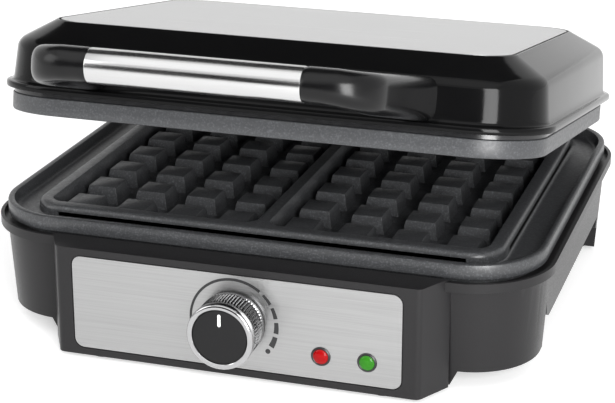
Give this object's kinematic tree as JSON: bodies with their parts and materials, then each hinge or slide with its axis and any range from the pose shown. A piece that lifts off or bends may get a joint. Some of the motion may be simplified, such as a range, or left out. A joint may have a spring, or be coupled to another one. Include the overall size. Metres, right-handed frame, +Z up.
{
  "type": "waffle maker",
  "caption": "Electric double waffle maker: studded rectangular plates in a dark plastic base with a control panel, under a hinged lid with a steel top and tube handle.",
  "frame": {"origin": "middle of the bounding box on the table plane under the feet", "axes": "+X to the user's right, +Y to the back where the hinge is, +Z up; the control panel faces -Y"},
  "size_m": [0.247, 0.2889, 0.1477],
  "materials": {
    "base_plastic": "satin dark grey moulded plastic",
    "lid_plastic": "gloss black moulded plastic",
    "frame_plastic": "satin black heat-resistant plastic",
    "steel_sheet": "brushed light steel sheet",
    "tube_steel": "polished steel tube",
    "handle_plastic": "satin black moulded plastic",
    "non_stick": "die-cast aluminium with a charcoal non-stick coat",
    "element_steel": "dull steel sheath",
    "clamp_steel": "plain steel strip",
    "reflector_sheet": "thin bright sheet",
    "screw_steel": "plain steel",
    "knob_black": "matt black plastic",
    "knob_chrome": "bright plated ring",
    "pointer_white": "white mark",
    "shaft_steel": "turned steel",
    "thermostat_metal": "plain metal can",
    "nut_brass": "plain brass",
    "red_lens": "red clear plastic",
    "green_lens": "green clear plastic",
    "lamp_glass": "clear glass bulb",
    "terminal_plastic": "pale moulded plastic",
    "fuse_metal": "small metal can",
    "cover_plastic": "black moulded plastic",
    "gland_rubber": "black rubber",
    "foot_rubber": "black rubber"
  },
  "bodies": {
    "base": {"base_housing": "base_plastic", "bottom_cover": "cover_plastic", "control_panel_plate": "steel_sheet", "lower_waffle_plate": "non_stick", "lower_heating_element": "element_steel", "lower_heater_clamps": "clamp_steel", "lower_reflector": "reflector_sheet", "thermostat_body": "thermostat_metal", "thermostat_nut": "nut_brass", "red_indicator_lens": "red_lens", "green_indicator_lens": "green_lens", "indicator_lamps": "lamp_glass", "terminal_block": "terminal_plastic", "thermal_fuse": "fuse_metal", "cord_gland": "gland_rubber", "front_feet": "foot_rubber", "rear_feet": "foot_rubber", "bottom_cover_screws": "screw_steel", "lower_plate_screws": "screw_steel", "lower_clamp_screws": "screw_steel", "hinge_pins": "screw_steel"},
    "knob": {"thermostat_shaft": "shaft_steel", "knob_hub": "knob_black", "knob_ring": "knob_chrome", "knob_pointer": "pointer_white"},
    "lid": {"lid_housing": "lid_plastic", "lid_top_plate": "steel_sheet", "lid_frame": "frame_plastic", "upper_waffle_plate": "non_stick", "upper_heating_element": "element_steel", "upper_heater_clamps": "clamp_steel", "upper_reflector": "reflector_sheet", "handle_left_end": "handle_plastic", "handle_right_end": "handle_plastic", "handle_tube": "tube_steel", "handle_rod": "screw_steel", "handle_screws": "screw_steel", "lid_frame_screws": "screw_steel", "upper_plate_screws": "screw_steel", "upper_clamp_screws": "screw_steel"}
  },
  "joints": [
    {"name": "lid_hinge", "type": "hinge", "parent": "base", "child": "lid", "pos_m": [0, 0.1365, 0.062], "axis": [-1, 0, 0], "range_deg": [-11, 85]},
    {"name": "knob_turn", "type": "hinge", "parent": "base", "child": "knob", "pos_m": [0, -0.1015, 0.026], "axis": [0, 1, 0], "range_deg": [-90, 135]}
  ]
}
